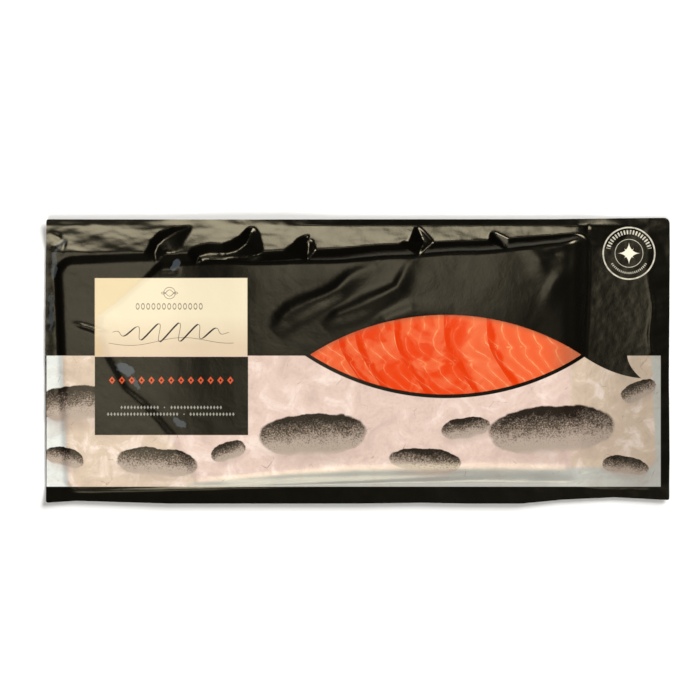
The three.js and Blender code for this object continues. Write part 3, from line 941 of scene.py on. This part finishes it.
def makePouch(material):
    bm = gridOf(packLength, packWidth, pouchShape["spacing"])
    for v in bm.verts:
        x, y = roundCorner(v.co.x, v.co.y)
        v.co = (x, y, filmTop(x, y))
    rim = [e for e in bm.edges if e.is_boundary]
    rings = pouchShape["underRings"]
    for inward, before in zip(rings, (0, *rings)):
        made = bmesh.ops.extrude_edge_only(bm, edges=rim)["geom"]
        rim = [g for g in made if isinstance(g, bmesh.types.BMEdge)]
        for v in vertsOf(made):
            x = drawnIn(v.co.x, halfX - inward, inward - before)
            y = drawnIn(v.co.y, halfY - inward, inward - before)
            v.co = (x, y, underHeight(x, y) if inward else v.co.z - pouchShape["seamThickness"])
    bmesh.ops.contextual_create(bm, geom=rim)
    bmesh.ops.remove_doubles(bm, verts=bm.verts, dist=0.0005)
    bmesh.ops.recalc_face_normals(bm, faces=bm.faces)
    pouch = finishMesh(bm, "printedPouch", material, "printed_film", "pouch")
    cutByLens(pouch, "DIFFERENCE", 0, pouchShape["pocketFloor"])
    addBehind(pouch.data)
    print("pouch:", len(pouch.data.polygons), "faces")


clearFinish = {"roughness": 0.12, "ior": 1.14}


def makeClearFilm():
    material, tree, shader = newMaterial("clearFilm")
    tree.nodes.remove(shader)
    fresnel = nodeOf(tree, "ShaderNodeFresnel")
    backfacing = nodeOf(tree, "ShaderNodeNewGeometry").outputs["Backfacing"]
    feed(fresnel.inputs["IOR"], spread(backfacing, 0, 1, clearFinish["ior"], 1 / clearFinish["ior"]))
    clear = nodeOf(tree, "ShaderNodeBsdfTransparent")
    gloss = nodeOf(tree, "ShaderNodeBsdfGlossy")
    gloss.inputs["Roughness"].default_value = clearFinish["roughness"]
    addBump(gloss, place(crinkleGroup, millimetres(tree)[0])[0], filmFinish["bump"])
    both = nodeOf(tree, "ShaderNodeMixShader")
    feedAll(both.inputs, (fresnel.outputs[0], clear.outputs[0], gloss.outputs[0]))
    feed(tree.nodes["Material Output"].inputs["Surface"], both.outputs[0])
    return material


def makeWindow(material):
    bm = gridOf(*window["blank"], window["spacing"])
    bmesh.ops.translate(bm, vec=(*window["centre"], 0), verts=bm.verts)
    for v in bm.verts:
        v.co.z = filmTop(v.co.x, v.co.y) - window["filmBelow"]
    thicken(bm, (0, 0, -window["filmThickness"]))
    pane = finishMesh(bm, "clearWindow", material, "clear_film", "window_film")
    cutByLens(pane, "INTERSECT", window["tuck"], window["cutBottom"])
    print("window:", len(pane.data.polygons), "faces")


flesh = {
    "edges": (-12.5, -2, 22, 52, 78),  # where each slice's far edge crosses the window above its bend
    "bend": (8, 0.68, 4),  # y, slope, softness
    "kinks": (1, 1, -1, -2, 0, 8),  # height of each slice's kink in its fat lines
    "lap": 0.2,  # neighbours meet under the film
    "gap": 0.08,  # between film and flesh
    "step": 0.3,  # how far a slice dips under its neighbour
    "stepRun": 3, "slant": 3.6, "depth": 8.6,
    "cutBelow": 0.5,  # their outline is cut from this far under the pocket's floor
    "outerReach": 60,
    "mapUnit": 100,  # mm for each unit of the UV map
    "light": (0.74, 0.115, 0.034), "deep": (0.7, 0.04, 0),
    "fat": (0.86, 0.3, 0.12), "veil": (0.78, 0.18, 0.07),
    "standOffShade": (0.34, 0.105, 0.05),  # painted shade and haze where the film stands off it, along the upper edge and at the right tip
    "rimShadeRange": (-3.4, 0, 0, 0.5), "tipShadeRange": (112, 135, 0, 0.9),
    "lineSpacing": 8.8, "lineHalf": 0.42, "lineEdge": 0.5,
    # how far a fat line stands from its kink, by height from the kink
    "lineShape": ((-30, 14), (-20, 5.5), (-14, 0.6), (-9, -2.6), (-5, -3.4), (-2, -2.4), (0, 0),
                  (2, -1.8), (6, -5), (11, -7.2), (15, -7), (21, -3.5)),
    "straighten": (60, 135, 1, 0.35),  # along X
    "sways": ((0.05, 9), (0.35, 1.6)),  # scale, mm that the lines wander
    "strength": ((0.22, 2, 0.6), (0.38, 0.6, 0.25, 1)),
    # the pale spot at some kinks: half height, half width and softness, and which kinks have one
    "kinkSpot": (0.5, 1.6, 1.2), "spotted": ((0.12,), (0.5, 0.6)),
    "halo": (0, 3.2, 0.2, 0),  # beside each line
    "clouds": ((0.055, 3, 0.5, 0.8), (0.47, 0.59)), "cloudFade": (60, 90, 0.85, 0),
    # the deep band along each slice's near edge: its width and its soft end
    "bandWidth": ((0.1,), (0.35, 0.65, 3.2, 5.8)), "bandEnd": (-0.8, 1.4),
    "veils": ((0.045, 2, 0.5, 1.5), (0.52, 0.72, 0, 0.6)),
    "deepHides": 0.7,  # of the fat lines
    "bump": 0.12,  # mm
    "shader": {"Roughness": 0.35, "Specular IOR Level": 0.04, "Subsurface Weight": 0.1,
               "Subsurface Radius": (0.002, 0.0007, 0.0003), "Subsurface Scale": 0.5},
}


def sliceBend(y):
    bendY, slope, softness = flesh["bend"]
    return slope * softness * log1p(exp((bendY - y) / softness))


def shapeCurve(value, points):  # a smooth curve through the points
    low, high = points[0][0], points[-1][0]
    bottom, top = min(p[1] for p in points), max(p[1] for p in points)
    node = nodeFor([value], "ShaderNodeFloatCurve")
    curve = node.mapping.curves[0]
    scaled = [((a - low) / (high - low), (b - bottom) / (top - bottom)) for a, b in points]
    curve.points[0].location, curve.points[-1].location = scaled[0], scaled[-1]
    for a, b in scaled[1:-1]:
        curve.points.new(a, b)
    node.mapping.update()
    feed(node.inputs["Value"], spread(value, low, high))
    return spread(node.outputs[0], 0, 1, bottom, top)


def fatLines(where, x, across, fromKink):  # the lines themselves, and all that is pale with them
    bow = times(shapeCurve(fromKink, flesh["lineShape"]), spread(x, *flesh["straighten"]))
    sways = [times(minus(noiseOf(where, scale), 0.5), amount) for scale, amount in flesh["sways"]]
    phase = plus(minus(across, bow), plus(*sways))
    wave = calc("FRACT", over(phase, flesh["lineSpacing"]))
    offLine = times(minus(wave, 0.5), flesh["lineSpacing"])
    line = within(offLine, flesh["lineHalf"], flesh["lineEdge"])
    line = times(line, patches(where, *flesh["strength"]))
    spotHigh, spotWide, spotEdge = flesh["kinkSpot"]
    spot = times(within(fromKink, spotHigh, spotEdge), within(plus(offLine, spotWide), spotWide, spotEdge),
                 patches(where, *flesh["spotted"]))
    halo = spread(absolute(offLine), *flesh["halo"], "SMOOTHSTEP")
    return line, larger(line, spot, halo)


def makeSalmon():
    material, tree, shader = newMaterial("salmonFlesh")
    parts = partsOf(nodeOf(tree, "ShaderNodeUVMap", uv_map="slicePlace").outputs[0])
    across = times(parts[0], flesh["mapUnit"])  # mm from the slice's near edge
    fromKink = times(parts[1], flesh["mapUnit"])  # mm above its kink
    where, x, y = millimetres(tree)
    line, pale = fatLines(where, x, across, fromKink)
    pastBand = minus(across, patches(where, *flesh["bandWidth"]))
    band = inverse(spread(pastBand, *flesh["bandEnd"]))
    clouds = times(patches(where, *flesh["clouds"]), spread(x, *flesh["cloudFade"]))
    deepness = larger(band, clouds)
    colour = mix(deepness, flesh["light"], flesh["deep"])
    veil = times(patches(where, *flesh["veils"]), inverse(deepness))
    colour = mix(veil, colour, flesh["veil"])
    pale = times(pale, inverse(times(deepness, flesh["deepHides"])))
    colour = mix(pale, colour, flesh["fat"])
    # painted shade along the window's upper edge, painted shade and haze at the right tip
    rim = spread(pastArc(x, y, 1), *flesh["rimShadeRange"], "SMOOTHSTEP")
    tip = spread(x, *flesh["tipShadeRange"], "SMOOTHSTEP")
    feed(shader.inputs["Base Color"], mix(larger(rim, tip), colour, flesh["standOffShade"]))
    setInputs(shader, flesh["shader"])
    addBump(shader, line, flesh["bump"])
    return material


def makeSlice(number, start, end, kinkY, material):
    width = end - start + 2 * flesh["lap"]
    bm = gridOf(width, window["blank"][1], window["spacing"])
    bmesh.ops.translate(bm, vec=(width / 2, window["centre"][1], 0), verts=bm.verts)
    slicePlace = bm.loops.layers.uv.new("slicePlace")
    for face in bm.faces:
        for loop in face.loops:
            across, y = loop.vert.co.xy
            loop[slicePlace].uv = (across / flesh["mapUnit"], (y - kinkY) / flesh["mapUnit"])
    below = window["filmBelow"] + window["filmThickness"] + flesh["gap"]
    for v in bm.verts:
        across, y = v.co.xy
        x = start - flesh["lap"] + across + sliceBend(y)
        dip = flesh["step"] * exp(-(across / flesh["stepRun"]) ** 2)
        v.co = (x, y, filmTop(x, y) - below - dip)
    depth = board["top"] + flesh["depth"] - pouchShape["pocketFloor"]
    thicken(bm, (-flesh["slant"] * depth, 0, -depth))
    piece = finishMesh(bm, f"salmonSlice{number}", material, "salmon", f"salmon_slice_{number}")
    cutByLens(piece, "INTERSECT", window["tuck"], pouchShape["pocketFloor"] - flesh["cutBelow"])


def makeSlices():
    salmon = makeSalmon()
    centreX = window["centre"][0]
    reach = window["halfLength"] + flesh["outerReach"]
    edges = [centreX - reach, *flesh["edges"], centreX + reach]
    for number, (start, end, kinkY) in enumerate(zip(edges, edges[1:], flesh["kinks"]), 1):
        makeSlice(number, start, end, kinkY, salmon)
    print("slices:", number)


studio = {
    "cameraHeight": 2.4,
    "viewWidth": 0.4242,  # metres across the picture at the pack's face
    "viewCentre": (-0.00455, 0.0063),
    "faceHeight": 0.01,
    "sensor": 36, "clipEnd": 20,
    "floorWidth": 6000,  # mm
    "floor": {"Base Color": (0.88, 0.88, 0.87, 1), "Roughness": 0.9, "Specular IOR Level": 0.1},
    # each soft light: the way to its middle, where it fades out and is full (as cosines), strength
    "keys": (((-0.15, -0.55, 0.82), 0.955, 0.99, 9.8), ((0.55, 0.55, 0.63), 0.93, 0.985, 15.3)),
    # a faint patch overhead: how it grows with height, then axis, from, to and share at each
    "glow": (0, 0.3, 0, 2.8),
    "glowSides": ((0, -0.18, -0.09, 0, 1), (0, -0.01, 0.1, 1, 0), (1, -0.12, 0, 0, 1),
                  (1, 0.12, 0.3, 1, 0)),
    "lightColour": (1, 0.99, 0.97, 1),
    "backdrop": 0.9,
}


def makeFloor():
    wide = studio["floorWidth"]
    material, _, shader = newMaterial("paleFloor")
    setInputs(shader, studio["floor"])
    floor = finishMesh(gridOf(wide, wide, wide), "floor", material, None, smoothFaces=False)


def makeWorld():  # soft lights all round a dark room
    world = bpy.data.worlds.new("studioWorld")
    world.use_nodes = True
    tree = world.node_tree
    way = nodeOf(tree, "ShaderNodeTexCoord").outputs["Generated"]
    parts = partsOf(way)
    total = spread(parts[2], *studio["glow"])
    for axis, *fade in studio["glowSides"]:
        total = times(total, spread(parts[axis], *fade, "SMOOTHSTEP"))
    for middle, fadeOut, full, strength in studio["keys"]:
        towards = nodeOf(tree, "ShaderNodeVectorMath", operation="DOT_PRODUCT")
        feedAll(towards.inputs, (way, Vector(middle).normalized()))
        total = plus(total, spread(towards.outputs["Value"], fadeOut, full, 0, strength, "SMOOTHSTEP"))
    seen = nodeOf(tree, "ShaderNodeLightPath").outputs["Is Camera Ray"]
    background = tree.nodes["Background"]
    feed(background.inputs["Strength"], spread(seen, 0, 1, total, studio["backdrop"]))
    background.inputs["Color"].default_value = studio["lightColour"]
    bpy.context.scene.world = world


def makeStudio():
    makeFloor()
    makeWorld()
    bpy.context.scene.view_settings.view_transform = "Standard"
    camera = bpy.data.cameras.new("camera")
    camera.sensor_width = studio["sensor"]
    distance = studio["cameraHeight"] - studio["faceHeight"]
    camera.lens = studio["sensor"] * distance / studio["viewWidth"]
    camera.clip_end = studio["clipEnd"]
    shot = bpy.data.objects.new("camera", camera)
    shot.location = (*studio["viewCentre"], studio["cameraHeight"])
    bpy.context.scene.collection.objects.link(shot)
    bpy.context.scene.camera = shot
    print("studio ready")


stoneGroup = makeStoneGroup()
panelGroup = makePanelGroup()
beadGroup = makeBeadGroup()
waveGroup = makeWaveGroup()
crinkleGroup = makeCrinkleGroup()
makePouch(makePrintedFilm())
makeWindow(makeClearFilm())
makeSlices()
makeStudio()
